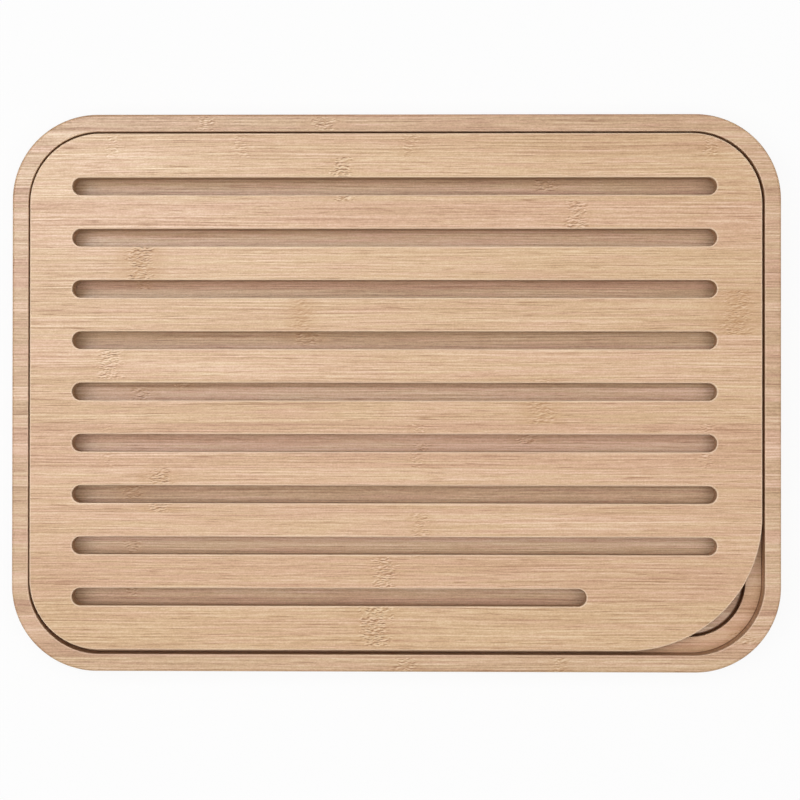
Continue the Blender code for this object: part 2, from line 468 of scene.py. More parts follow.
    def _colour(self, tree: Tree, fibres: Node, chance: Node, tone: Node) -> Node:
        """Colour the streaks, and wash them pinker or yellower.

        Args:
            tree: Material's node tree.
            fibres: Coordinates along the fibres in millimetres.
            chance: Chance values of the lamella.
            tone: Tone of the streaks.

        Returns:
            The plain wood's colour.
        """
        ramp = add_node(tree, "ShaderNodeValToRGB", {"Fac": tone})
        ramp.color_ramp.elements[0].color = linear(self.dark)
        ramp.color_ramp.elements[1].color = linear(self.pale)
        ramp.color_ramp.elements.new(0.5).color = linear(self.base)
        parts = add_node(tree, "ShaderNodeSeparateColor", {0: chance.outputs["Color"]})
        own = add_node(
            tree, MATH, {0: parts.outputs["Green"], 1: self.hue_spread, 2: -self.hue_spread / 2},
            operation="MULTIPLY_ADD",
        )
        hue = add_node(tree, MATH, {0: own, 1: self._layer(tree, fibres, PATCHES)}, operation="ADD")
        warm = add_node(tree, RANGE, {"Value": hue, "From Min": -0.2, "From Max": 0.2})
        wash = add_node(
            tree, MIX, {"Factor": warm, "A": linear(self.honey_wash), "B": linear(self.pink_wash)},
            data_type="RGBA",
        )
        return add_node(
            tree, MIX, {"Factor": 1.0, "A": ramp, "B": wash}, data_type="RGBA", blend_type="MULTIPLY"
        )

    def _mark_knuckles(self, tree: Tree, colour: Node, knuckle: Masks, relief: Node) -> Node:
        """Tan the knuckles and give them pores.

        Args:
            tree: Material's node tree.
            colour: Wood colour so far.
            knuckle: Masks of the knuckles.
            relief: Painted light and shade of the knuckles' crinkled ridges.

        Returns:
            The colour with its knuckles.
        """
        tan = add_node(tree, MATH, {0: knuckle["tan"], 1: self.tan_gain}, operation="MULTIPLY")
        tanned = add_node(
            tree, MIX, {"Factor": tan, "A": colour, "B": linear(self.knuckle_tan)}, data_type="RGBA"
        )
        shallow, deep = self.pore_relief
        hole = add_node(
            tree, RANGE, {"Value": relief, "From Min": shallow, "From Max": deep, "To Max": self.pore_cover}
        )
        return add_node(tree, MIX, {"Factor": hole, "A": tanned, "B": linear(self.pore)}, data_type="RGBA")

    def _shade_cuts(self, tree: Tree, colour: Node, within: Node) -> Node:
        """Darken the glue lines, darken the milled walls with router scorching and painted shade, and paint a
        highlight on the eased edges.

        Args:
            tree: Material's node tree.
            colour: Wood colour so far.
            within: Share of the lamella's width.

        Returns:
            The colour as the surface shows it.
        """
        aside = add_node(tree, MATH, {0: within, 1: 0.5}, operation="SUBTRACT")
        away = add_node(tree, MATH, {0: aside}, operation="ABSOLUTE")
        half_line = self.seam_mm / self.lamella_mm
        seam = add_node(
            tree, RANGE,
            {"Value": away, "From Min": 0.5 - half_line, "From Max": 0.5, "To Max": self.seam_strength},
        )
        colour = add_node(tree, MIX, {"Factor": seam, "A": colour, "B": linear(self.dark)}, data_type="RGBA")
        # Scorching and painted shade: walls, their feet, the ledge and the step are drawn browner and darker.
        cut = add_node(tree, "ShaderNodeAttribute", attribute_name=Attribute.CUT.value)
        scorch_and_shade_share = add_node(tree, MATH, {0: cut.outputs["Fac"], 1: self.scorch_and_shade}, operation="MULTIPLY")
        scorched_and_shaded = add_node(
            tree, MIX, {"Factor": scorch_and_shade_share, "A": linear(self.light_scorch_and_shade), "B": linear(self.deep_scorch_and_shade)},
            data_type="RGBA",
        )
        cover = add_node(tree, MATH, {0: scorch_and_shade_share, 1: self.scorch_and_shade_cover}, operation="MULTIPLY", use_clamp=True)
        colour = add_node(tree, MIX, {"Factor": cover, "A": colour, "B": scorched_and_shaded}, data_type="RGBA")
        # Painted highlight: the eased edges are drawn paler.
        edge = add_node(tree, "ShaderNodeAttribute", attribute_name=Attribute.EDGE.value)
        share = add_node(tree, MATH, {0: edge.outputs["Fac"], 1: self.painted_edge_highlight}, operation="MULTIPLY")
        return add_node(tree, MIX, {"Factor": share, "A": colour, "B": linear(self.pale)}, data_type="RGBA")

    def _surface(self, tree: Tree, colour: Node, tone: Node) -> None:
        """Join colour, gloss and relief in the shader.

        Args:
            tree: Material's node tree.
            colour: Surface colour.
            tone: Tone of the streaks.
        """
        rough = add_node(
            tree, RANGE,
            {"Value": tone, "From Min": 0.2, "From Max": 0.8, "To Min": self.rough_dark,
             "To Max": self.rough_pale},
        )
        bump = add_node(
            tree, "ShaderNodeBump",
            {"Height": tone, "Strength": self.relief_strength, "Distance": self.relief_mm * MM},
        )
        shader = add_node(
            tree, "ShaderNodeBsdfPrincipled",
            {"Base Color": colour, "Roughness": rough, "Normal": bump, "IOR": self.oil_ior,
             "Specular IOR Level": 0.5},
        )
        add_node(tree, "ShaderNodeOutputMaterial", {"Surface": shader})


@dataclass(frozen=True)
class MouldedRubber:
    """Dark rubber from a mould: matt, with a very fine, even tooth."""

    name: str = "moulded_rubber"
    colour: str = "35322F"
    light: str = "45413D"
    # The tooth of real rubber is about 0.1 mm, too fine for the picture, so it is drawn coarser.
    tooth_mm: float = 0.5
    tooth_depth_mm: float = 0.05
    tooth_strength: float = 0.4
    rough_low: float = 0.72
    rough_high: float = 0.88

    def build(self) -> bpy.types.Material:
        """Make the material.

        Returns:
            The finished material.
        """
        material = new_material(self.name)
        tree = material.node_tree
        place = add_node(tree, "ShaderNodeTexCoord").outputs["Object"]
        tooth = add_node(
            tree, "ShaderNodeTexNoise", {"Vector": place, "Scale": 1 / (self.tooth_mm * MM), "Detail": 2.0}
        )
        colour = add_node(
            tree, MIX, {"Factor": tooth, "A": linear(self.colour), "B": linear(self.light)}, data_type="RGBA"
        )
        rough = add_node(tree, RANGE, {"Value": tooth, "To Min": self.rough_low, "To Max": self.rough_high})
        bump = add_node(
            tree, "ShaderNodeBump",
            {"Height": tooth, "Strength": self.tooth_strength, "Distance": self.tooth_depth_mm * MM},
        )
        shader = add_node(
            tree, "ShaderNodeBsdfPrincipled", {"Base Color": colour, "Roughness": rough, "Normal": bump}
        )
        add_node(tree, "ShaderNodeOutputMaterial", {"Surface": shader})
        return material


@dataclass(frozen=True)
class PaperSweep:
    """Matt white studio paper that shows as white and keeps a soft shadow."""

    name: str = "white_paper_sweep"
    paper: str = "F2F2F2"
    glow_share: float = 0.9

    def build(self) -> bpy.types.Material:
        """Make the material.

        Returns:
            The finished material.
        """
        material = new_material(self.name)
        tree = material.node_tree
        ray = add_node(tree, "ShaderNodeLightPath").outputs
        seen = add_node(tree, MATH, {0: ray["Is Camera Ray"], 1: ray["Is Glossy Ray"]}, operation="MAXIMUM")
        seen = add_node(tree, MATH, {0: seen, 1: ray["Is Transmission Ray"]}, operation="MAXIMUM")
        share = add_node(tree, MATH, {0: seen, 1: self.glow_share}, operation="MULTIPLY")
        paper = add_node(tree, "ShaderNodeBsdfDiffuse", {"Color": linear(self.paper)})
        glow = add_node(tree, "ShaderNodeEmission", {"Color": linear("FFFFFF"), "Strength": 1.0})
        mixed = add_node(tree, "ShaderNodeMixShader", {0: share, 1: paper, 2: glow})
        add_node(tree, "ShaderNodeOutputMaterial", {"Surface": mixed})
        return material


STAVE_MM = 23.13
STRIP_MM = 7.4

STAVE_KNUCKLES = (
    Knuckle(0, -10.2, 10.0, 0.25, 0.9),
    Knuckle(1, -6.1, 8.0, 0.2, 0.7),
    Knuckle(2, 12.6, 6.0, 0.2, 0.4),
    Knuckle(3, -122.5, 8.0, 0.35, 0.8),
    Knuckle(4, -150.0, 5.0, 0.1, 0.2),
    Knuckle(4, 11.1, 5.0, 0.1, 0.3),
    Knuckle(4, 161.3, 5.0, 0.1, 0.3),
    Knuckle(5, 75.5, 9.0, 0.35, 0.5),
    Knuckle(6, -149.5, 9.0, 0.15, 0.6),
    Knuckle(7, -48.7, 7.0, 0.35, 0.3),
    Knuckle(7, 176.9, 10.0, 0.4, 0.5),
    Knuckle(8, -133.4, 9.0, 0.5, 1.0),
    Knuckle(9, 93.7, 7.0, 0.2, 0.7),
    Knuckle(10, -27.9, 7.0, 0.25, 0.9),
    Knuckle(11, -147.5, 5.0, 0.1, 0.3),
    Knuckle(11, -80.9, 5.0, 0.1, 0.3),
    Knuckle(11, 7.4, 5.0, 0.15, 0.4),
    Knuckle(11, 163.9, 5.0, 0.15, 0.4),
    Knuckle(102, 60.0, 9.0, 0.4, 0.9),
    Knuckle(104, -90.0, 9.0, 0.4, 0.9),
    Knuckle(107, 120.0, 9.0, 0.4, 0.9),
    Knuckle(109, -20.0, 9.0, 0.4, 0.9),
)

STRIP_KNUCKLES = (
    Knuckle(0, 5.4, 8.0, 0.2, 0.5),
    Knuckle(0, 84.9, 5.0, 0.2, 0.4),
    Knuckle(2, 182.0, 6.0, 0.2, 0.4),
    Knuckle(5, -139.0, 5.0, 0.2, 0.4),
    Knuckle(8, -139.0, 5.0, 0.2, 0.4),
    Knuckle(12, -139.4, 6.0, 0.3, 0.5),
    Knuckle(15, 13.0, 7.0, 0.2, 0.5),
    Knuckle(16, 69.4, 7.0, 0.2, 0.5),
    Knuckle(19, -135.0, 7.0, 0.2, 0.5),
    Knuckle(20, -115.0, 6.0, 0.2, 0.5),
    Knuckle(23, -47.0, 9.0, 0.3, 0.5),
    Knuckle(27, -135.0, 5.0, 0.3, 0.5),
    Knuckle(34, 78.0, 8.0, 0.2, 0.5),
    Knuckle(38, -100.0, 6.0, 0.2, 0.6),
    Knuckle(38, -38.0, 9.0, 0.2, 0.6),
)


def edge_arc(radius: float, steps: int) -> list[tuple[float, float]]:
    """Points of a rounded edge, from the wall to the face.

    Args:
        radius: Radius of the rounding.
        steps: Segments of the arc.

    Returns:
        Pairs of inset from the wall and drop from the face.
    """
    turns = [math.pi / 2 * step / steps for step in range(steps + 1)]
    return [(radius * (1 - math.cos(turn)), radius * (1 - math.sin(turn))) for turn in turns]


@dataclass(frozen=True)
class Arc:
    """Quarter turn of an outline."""

    x: float
    y: float
    radius: float
    start: float


def corner_arcs(low: Vector, high: Vector, radius: float) -> list[Arc]:
    """Corners of a rounded rectangle, anticlockwise from the back right one.

    Args:
        low: Lowest corner of its box.
        high: Highest corner of its box.
        radius: Corner radius.

    Returns:
        The four arcs.
    """
    quarter = math.pi / 2
    centres = (
        (high.x - radius, high.y - radius),
        (low.x + radius, high.y - radius),
        (low.x + radius, low.y + radius),
        (high.x - radius, low.y + radius),
    )
    return [Arc(x, y, radius, turn * quarter) for turn, (x, y) in enumerate(centres)]


@dataclass
class CrumbTray:
    """Tray milled from one laminated panel, with a fine rounding on every edge."""

    finish: bpy.types.Material
    corner_radius: float = 44.5 * MM
    rim_end: float = 8.5 * MM
    rim_side: float = 9.0 * MM
    rim_corner_step: float = 7.3 * MM
    ledge_width: float = 8.5 * MM
    ledge_depth: float = 10.3 * MM
    crumb_depth: float = 6.0 * MM
    cove_radius: float = 0.8 * MM
    outer_edge: float = 1.2 * MM
    inner_edge: float = 0.5 * MM
    edge_support_band: float = 0.4 * MM
    pocket_radius: float = 7.4 * MM
    pocket_depth: float = 1.2 * MM
    # Shares of the painted highlight on the eased edges of the rim and of the ledge.
    painted_highlight_rim: float = 0.5
    painted_highlight_ledge: float = 0.3
    # Shares of the darkening: painted shade at the rim wall's lip and foot and across the ledge, scorching
    # with painted shade down the walls and the step.
    scorch_and_shade_lip: float = 0.4
    scorch_and_shade_wall: float = 0.28
    scorch_and_shade_corner: float = 1.0
    painted_shade_ledge_back: float = 0.2
    painted_shade_ledge: float = 0.12
    painted_shade_ledge_edge: float = 0.1
    scorch_and_shade_step: float = 0.9
    corner_steps: int = 36
    edge_steps: int = 5
    pocket_steps: int = 48
    layers: dict[str, bmesh.types.BMLayerItem] = field(default_factory=dict)

    def build(self) -> bpy.types.Object:
        """Model and dress the tray.

        Returns:
            The tray, riding on its body.
        """
        low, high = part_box("crumb_tray")
        bm = bmesh.new()
        for name in Attribute:
            self.layers[name.value] = bm.verts.layers.float.new(name.value)
        rings = self._rings(bm, low, high)
        for lower, upper in zip(rings, rings[1:]):
            for i, vertex in enumerate(lower):
                bm.faces.new((lower[i - 1], vertex, upper[i], upper[i - 1]))
        bm.faces.new(rings[-1])
        self._underside(bm, rings[0], low)
        bmesh.ops.recalc_face_normals(bm, faces=bm.faces)
        mesh = bpy.data.meshes.new("tray_panel")
        bm.to_mesh(mesh)
        bm.free()
        mesh.materials.append(self.finish)
        mesh.shade_smooth()
        mesh.set_sharp_from_angle(angle=math.radians(SHARP_DEGREES))
        piece = bpy.data.objects.new("tray_panel", mesh)
        bpy.context.scene.collection.objects.link(piece)
        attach(piece, "tray")
        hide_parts("crumb_tray")
        return piece

    def _ring(self, bm: bmesh.types.BMesh, arcs: Sequence[Arc], inset: float, z: float,
              **shares: float) -> Ring:
        """Lay one closed ring of vertices.

        Args:
            bm: Mesh being built.
            arcs: Corners of the outline.
            inset: How far the ring lies inside the outline.
            z: Height of the ring.
            shares: Values of the attributes, by the names of their Attribute in small letters.

        Returns:
            The ring's vertices.
        """
        ring = []
        for arc in arcs:
            for step in range(self.corner_steps + 1):
                angle = arc.start + math.pi / 2 * step / self.corner_steps
                reach = arc.radius - inset
                vertex = bm.verts.new((arc.x + reach * math.cos(angle), arc.y + reach * math.sin(angle), z))
                for name, share in shares.items():
                    vertex[self.layers[Attribute[name.upper()].value]] = share
                ring.append(vertex)
        return ring

    def _rings(self, bm: bmesh.types.BMesh, low: Vector, high: Vector) -> list[Ring]:
        """Rings of the section, up the outside, over the rim and down to the crumb floor.

        Args:
            bm: Mesh being built.
            low: Lowest corner of the tray.
            high: Highest corner of the tray.

        Returns:
            The rings in order.
        """
        rim = Vector((self.rim_end, self.rim_side, 0))
        outer = corner_arcs(low, high, self.corner_radius)
        recess = corner_arcs(low + rim, high - rim, self.corner_radius - self.rim_corner_step)
        ledge = high.z - self.ledge_depth
        floor = ledge - self.crumb_depth
        band = self.edge_support_band
        big = edge_arc(self.outer_edge, self.edge_steps)
        small = edge_arc(self.inner_edge, self.edge_steps)
        cove = edge_arc(self.cove_radius, self.edge_steps)
        step_edge = self.ledge_width - self.inner_edge
        step_foot = self.ledge_width + self.cove_radius

        rings = [self._ring(bm, outer, self.outer_edge + band, low.z)]
        rings += [self._ring(bm, outer, inset, low.z + drop) for inset, drop in reversed(big)]
        rings.append(self._ring(bm, outer, 0, low.z + self.outer_edge + band))
        rings.append(self._ring(bm, outer, 0, high.z - self.outer_edge - band))
        rings += [self._ring(bm, outer, inset, high.z - drop) for inset, drop in big]
        rings.append(self._ring(bm, outer, self.outer_edge + band, high.z))
        rings.append(self._ring(bm, recess, -self.inner_edge - band, high.z))
        # Painted highlight on the rim's inner eased edge.
        rings += [
            self._ring(bm, recess, -inset, high.z - drop, edge=self.painted_highlight_rim)
            for inset, drop in reversed(small)
        ]
        # Painted shade at the rim wall's lip and foot, fading across the ledge.
        for inset, z, cut in (
            (0, high.z - self.inner_edge - band, self.scorch_and_shade_lip),
            (0, high.z - self.inner_edge - 3 * band, self.scorch_and_shade_wall),
            (0, ledge + 3 * band, self.scorch_and_shade_wall),
            (0, ledge, self.scorch_and_shade_corner),
            (band, ledge, self.painted_shade_ledge_back),
            (step_edge - band, ledge, self.painted_shade_ledge),
        ):
            rings.append(self._ring(bm, recess, inset, z, cut=cut))
        # Painted highlight on the ledge's eased edge, with a little painted shade.
        rings += [
            self._ring(
                bm, recess, self.ledge_width - inset, ledge - drop, edge=self.painted_highlight_ledge,
                cut=self.painted_shade_ledge_edge,
            )
            for inset, drop in reversed(small)
        ]
        step_top = ledge - self.inner_edge - band
        # The step down to the crumb floor: router scorching with painted shade.
        rings.append(self._ring(bm, recess, self.ledge_width, step_top, cut=self.scorch_and_shade_corner))
        rings += [
            self._ring(bm, recess, self.ledge_width + inset, floor + drop, cut=self.scorch_and_shade_step)
            for inset, drop in cove
        ]
        rings.append(self._ring(bm, recess, step_foot + band, floor))
        return rings

    def _underside(self, bm: bmesh.types.BMesh, border: Ring, low: Vector) -> None:
        """Close the underside round the pockets of the feet.

        Args:
            bm: Mesh being built.
            border: Lowest ring.
            low: Lowest corner of the tray.
        """
        loops = [border]
        for node in RubberFeet.NODES:
            foot_low, foot_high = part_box(node)
            centre = (foot_low + foot_high) / 2
            rims = []
            for z in (low.z, low.z + self.pocket_depth):
                rims.append([
                    bm.verts.new((
                        centre.x + self.pocket_radius * math.cos(math.tau * step / self.pocket_steps),
                        centre.y + self.pocket_radius * math.sin(math.tau * step / self.pocket_steps),
                        z,
                    ))
                    for step in range(self.pocket_steps)
                ])
            mouth, floor = rims
            for i, vertex in enumerate(mouth):
                bm.faces.new((mouth[i - 1], vertex, floor[i], floor[i - 1]))
            bm.faces.new(floor)
            loops.append(mouth)
        edges = [bm.edges.get((loop[i - 1], vertex)) for loop in loops for i, vertex in enumerate(loop)]
        bmesh.ops.triangle_fill(bm, use_beauty=True, edges=edges)


class NodeModel:
    """A Geometry Nodes tree with named inputs that turns into one plain mesh."""

    def __init__(self, name: str) -> None:
        """Start an empty tree.

        Args:
            name: Name of the tree and of the piece that it makes.
        """
        self.name = name
        self.tree = bpy.data.node_groups.new(name, "GeometryNodeTree")
        self.values: dict[str, Any] = {}
        self.tree.interface.new_socket("Mesh", in_out="OUTPUT", socket_type="NodeSocketGeometry")
        self.inputs = self.tree.nodes.new("NodeGroupInput")

    def entry(self, name: str, value: int | float | Vector) -> bpy.types.NodeSocket:
        """Add a named input to the tree.

        Args:
            name: Name of the input.
            value: A count, a size in metres or a point in metres.

        Returns:
            The socket to link from.
        """
        kind = {int: "NodeSocketInt", float: "NodeSocketFloat", Vector: "NodeSocketVector"}[type(value)]
        socket = self.tree.interface.new_socket(name, in_out="INPUT", socket_type=kind)
        self.values[socket.identifier] = tuple(value) if isinstance(value, Vector) else value
        return self.inputs.outputs[name]

    def section(self, thickness: Any, radius: Any, band: Any, steps: int) -> Node:
        """Draw half the section of a slab: a wall between two rounded edges.

        The points run from the lower face over the wall to the upper face, mirrored about the middle. Each
        carries the attributes of the painted edge highlight and of the wall's darkening by scorching and
        painted shade.

        Args:
            thickness: Slab's thickness.
            radius: Radius of its edges.
            band: Width of the plain band beside each rounding.
            steps: Segments of each rounding.

        Returns:
            The section as a curve.
        """
        tree = self.tree
        half = steps + 3
        line = add_node(tree, "GeometryNodeMeshLine", {"Count": 2 * half, "Offset": (0, 0, 1)})
        index = add_node(tree, "GeometryNodeInputIndex")
        mirrored = add_node(tree, MATH, {0: 2 * half - 1, 1: index}, operation="SUBTRACT")
        rank = add_node(tree, MATH, {0: index, 1: mirrored}, operation="MINIMUM")
        upper = add_node(tree, MATH, {0: index, 1: half - 0.5}, operation="GREATER_THAN")
        on_band = add_node(tree, MATH, {0: rank, 1: 0.5}, operation="LESS_THAN")
        on_wall = add_node(tree, MATH, {0: rank, 1: steps + 1.5}, operation="GREATER_THAN")
        straight = add_node(tree, MATH, {0: on_band, 1: on_wall}, operation="ADD")
        on_edge = add_node(tree, MATH, {0: 1.0, 1: straight}, operation="SUBTRACT")
        turn = add_node(
            tree, RANGE, {"Value": rank, "From Min": 1.0, "From Max": steps + 1.0, "To Max": math.pi / 2}
        )
        reaches = []
        for operation, plain in (("SINE", on_band), ("COSINE", on_wall)):
            side = add_node(tree, MATH, {0: turn}, operation=operation)
            rest = add_node(tree, MATH, {0: 1.0, 1: side}, operation="SUBTRACT")
            curved = add_node(tree, MATH, {0: radius, 1: rest}, operation="MULTIPLY")
            reaches.append(add_node(tree, MATH, {0: band, 1: plain, 2: curved}, operation="MULTIPLY_ADD"))
        inset, rise = reaches
        span = add_node(tree, MATH, {0: rise, 1: -2.0, 2: thickness}, operation="MULTIPLY_ADD")
        height = add_node(tree, MATH, {0: span, 1: upper, 2: rise}, operation="MULTIPLY_ADD")
        reach = add_node(tree, COMBINE, {"X": inset, "Y": height})
        place = add_node(tree, VECTOR, {0: reach, "Scale": -1.0}, operation="SCALE")
        for name, value in ((Attribute.EDGE, on_edge), (Attribute.CUT, on_wall)):
            line = add_node(
                tree, "GeometryNodeStoreNamedAttribute",
                {"Geometry": line, "Name": name.value, "Value": value},
                data_type="FLOAT", domain="POINT",
            )
        moved = add_node(tree, "GeometryNodeSetPosition", {"Geometry": line, "Position": place})
        return add_node(tree, "GeometryNodeMeshToCurve", {"Mesh": moved})

    def slab(self, walls: Node, faces: Node, section: Node, thickness: Any) -> Node:
        """Close a slab: sweep its walls and fill its two faces.

        Args:
            walls: Closed curves along the walls, anticlockwise outside and clockwise round holes.
            faces: The same curves, drawn in to where the plain faces begin.
            section: Curve of the wall's section.
            thickness: Slab's thickness.

        Returns:
            The slab as one closed mesh.
        """
        tree = self.tree
        swept = add_node(tree, "GeometryNodeCurveToMesh", {"Curve": walls, "Profile Curve": section})
        bottom = add_node(tree, "GeometryNodeFillCurve", {"Curve": faces}, mode="TRIANGLES")
        rise = add_node(tree, COMBINE, {"Z": thickness})
        top = add_node(tree, TRANSFORM, {"Geometry": bottom, "Translation": rise})
        inward = add_node(tree, JOIN)
        for part in (bottom, swept):
            tree.links.new(part.outputs[0], inward.inputs[0])
        outward = add_node(tree, "GeometryNodeFlipFaces", {"Mesh": inward})
        joined = add_node(tree, JOIN)
        for part in (top, outward):
            tree.links.new(part.outputs[0], joined.inputs[0])
        return add_node(tree, "GeometryNodeMergeByDistance", {"Geometry": joined, "Distance": WELD_MM * MM})

    def finish(self, mesh: Node, material: bpy.types.Material) -> bpy.types.Object:
        """Realise the mesh, give it its finish and turn the result into a plain piece.

        Args:
            mesh: Node that gives the mesh.
            material: Its finish.

        Returns:
            A plain mesh object at the origin.
        """
        tree = self.tree
        real = add_node(tree, "GeometryNodeRealizeInstances", {"Geometry": mesh})
        smooth = add_node(tree, "GeometryNodeSetShadeSmooth", {"Geometry": real})
        dressed = add_node(tree, "GeometryNodeSetMaterial", {"Geometry": smooth, "Material": material})
        add_node(tree, "NodeGroupOutput", {0: dressed})

        holder = bpy.data.objects.new(self.name + "_nodes", bpy.data.meshes.new(self.name + "_nodes"))
        bpy.context.scene.collection.objects.link(holder)
        modifier = holder.modifiers.new(self.name, "NODES")
        modifier.node_group = tree
        for identifier, value in self.values.items():
            modifier[identifier] = value
        graph = bpy.context.evaluated_depsgraph_get()
        plain = bpy.data.meshes.new_from_object(holder.evaluated_get(graph), depsgraph=graph)
        holder.modifiers.clear()
        bpy.data.objects.remove(holder)
        piece = bpy.data.objects.new(self.name, plain)
        plain.name = self.name
        bpy.context.scene.collection.objects.link(piece)
        return piece


@dataclass
class BreadGrid:
    """Loose slotted board with a wide lifting corner, its slots laid out by Geometry Nodes."""

    finish: bpy.types.Material
    corner_radius: float = 36.7 * MM
    lifting_radius: float = 69.5 * MM
    slot_count: int = 9
    slot_width: float = 9.0 * MM
    left_margin: float = 22.2 * MM
    right_margin: float = 23.5 * MM
    side_margin: float = 27.6 * MM
    corner_margin: float = 21.5 * MM
    edge_radius: float = 0.5 * MM
    edge_support_band: float = 0.4 * MM
    corner_steps: int = 40
    slot_end_steps: int = 14
    slot_end_share: float = 0.4995
    # Corners are counted from 0 as the curve runs; the front right one is the wide one.
    lifting_corner: float = 3.0
    edge_steps: int = 4

    def build(self) -> bpy.types.Object:
        """Model and dress the grid.

        Returns:
            The grid, riding on its body.
        """
        low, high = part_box("bread_grid")
        span = high - low
        middle = (low + high) / 2
        model = NodeModel("slotted_grid")
        length = model.entry("Length", span.x)
        width = model.entry("Width", span.y)
        thickness = model.entry("Thickness", span.z)
        radius = model.entry("Edge Radius", self.edge_radius)
        band = model.entry("Edge Band", self.edge_support_band)
        centre = model.entry("Middle of the underside", Vector((middle.x, middle.y, low.z)))
        slots = {
            "count": model.entry("Slot Count", self.slot_count),
            "width": model.entry("Slot Width", self.slot_width),
            "length": model.entry("Slot Length", span.x - self.left_margin - self.right_margin),
            "short": model.entry(
                "Short Slot Length", span.x - self.left_margin - self.lifting_radius - self.corner_margin
            ),
            "pitch": model.entry("Slot Pitch", (span.y - 2 * self.side_margin) / (self.slot_count - 1)),
            "first": model.entry("First Slot", self.side_margin - span.y / 2),
            "left": model.entry("Slot Start", self.left_margin - span.x / 2),
        }
        corners = {
            "radius": model.entry("Corner Radius", self.corner_radius),
            "lifting": model.entry("Lifting Corner Radius", self.lifting_radius),
        }
        inset = add_node(model.tree, MATH, {0: radius, 1: band}, operation="ADD")
        walls = self._curves(model.tree, length, width, corners, slots, 0.0)
        faces = self._curves(model.tree, length, width, corners, slots, inset)
        section = model.section(thickness, radius, band, self.edge_steps)
        slab = model.slab(walls, faces, section, thickness)
        placed = add_node(model.tree, TRANSFORM, {"Geometry": slab, "Translation": centre})
        piece = model.finish(placed, self.finish)
        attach(piece, "grid")
        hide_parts("bread_grid")
        return piece

    def _rounded(self, tree: Tree, width: Any, height: Any, radius: Any, steps: int) -> Node:
        """Rectangle about the origin with rounded corners.

        Args:
            tree: Tree being built.
            width: Size along X.
            height: Size along Y.
            radius: Corner radius, one for all or a field.
            steps: Segments of each corner.

        Returns:
            The closed curve, anticlockwise.
        """
        sharp = add_node(
            tree, "GeometryNodeCurvePrimitiveQuadrilateral", {"Width": width, "Height": height}
        )
        return add_node(
            tree, "GeometryNodeFilletCurve",
            {"Curve": sharp, "Count": steps, "Radius": radius, "Limit Radius": True}, mode="POLY",
        )

    def _curves(
        self, tree: Tree, length: Any, width: Any, corners: Sockets, slots: Sockets, inset: Any
    ) -> Node:
        """Outline and slots, drawn into the material by an inset.

        Args:
            tree: Tree being built.
            length: Grid's length.
            width: Grid's width.
            corners: Sockets of the corner radii.
            slots: Sockets of the slots' sizes.
            inset: How far the curves lie inside the walls.

        Returns:
            All the closed curves.
        """
        twice = add_node(tree, MATH, {0: inset, 1: 2.0}, operation="MULTIPLY")
        index = add_node(tree, "GeometryNodeInputIndex")
        lifting = add_node(tree, MATH, {0: index, 1: self.lifting_corner, 2: 0.1}, operation="COMPARE")
        wider = add_node(tree, MATH, {0: corners["lifting"], 1: corners["radius"]}, operation="SUBTRACT")
        plain = add_node(tree, MATH, {0: corners["radius"], 1: inset}, operation="SUBTRACT")
        radius = add_node(tree, MATH, {0: wider, 1: lifting, 2: plain}, operation="MULTIPLY_ADD")
        sides = [add_node(tree, MATH, {0: side, 1: twice}, operation="SUBTRACT") for side in (length, width)]
        outline = self._rounded(tree, *sides, radius, self.corner_steps)
        slot_height = add_node(tree, MATH, {0: slots["width"], 1: twice}, operation="ADD")
        end_radius = add_node(tree, MATH, {0: slot_height, 1: self.slot_end_share}, operation="MULTIPLY")
        full_count = add_node(tree, MATH, {0: slots["count"], 1: 1.0}, operation="SUBTRACT")
        second = add_node(tree, MATH, {0: slots["first"], 1: slots["pitch"]}, operation="ADD")
        joined = add_node(tree, JOIN)
        tree.links.new(outline.outputs[0], joined.inputs[0])
        rows = ((slots["length"], full_count, second), (slots["short"], 1, slots["first"]))
        for reach, count, first in rows:
            long = add_node(tree, MATH, {0: reach, 1: twice}, operation="ADD")
            slot = self._rounded(tree, long, slot_height, end_radius, self.slot_end_steps)
            middle = add_node(tree, MATH, {0: reach, 1: 0.5, 2: slots["left"]}, operation="MULTIPLY_ADD")
            start = add_node(tree, COMBINE, {"X": middle, "Y": first})
            step = add_node(tree, COMBINE, {"Y": slots["pitch"]})
            points = add_node(
                tree, "GeometryNodeMeshLine", {"Count": count, "Start Location": start, "Offset": step}
            )
            copies = add_node(tree, "GeometryNodeInstanceOnPoints", {"Points": points, "Instance": slot})
            real = add_node(tree, "GeometryNodeRealizeInstances", {"Geometry": copies})
            clockwise = add_node(tree, "GeometryNodeReverseCurve", {"Curve": real})
            tree.links.new(clockwise.outputs[0], joined.inputs[0])
        return joined


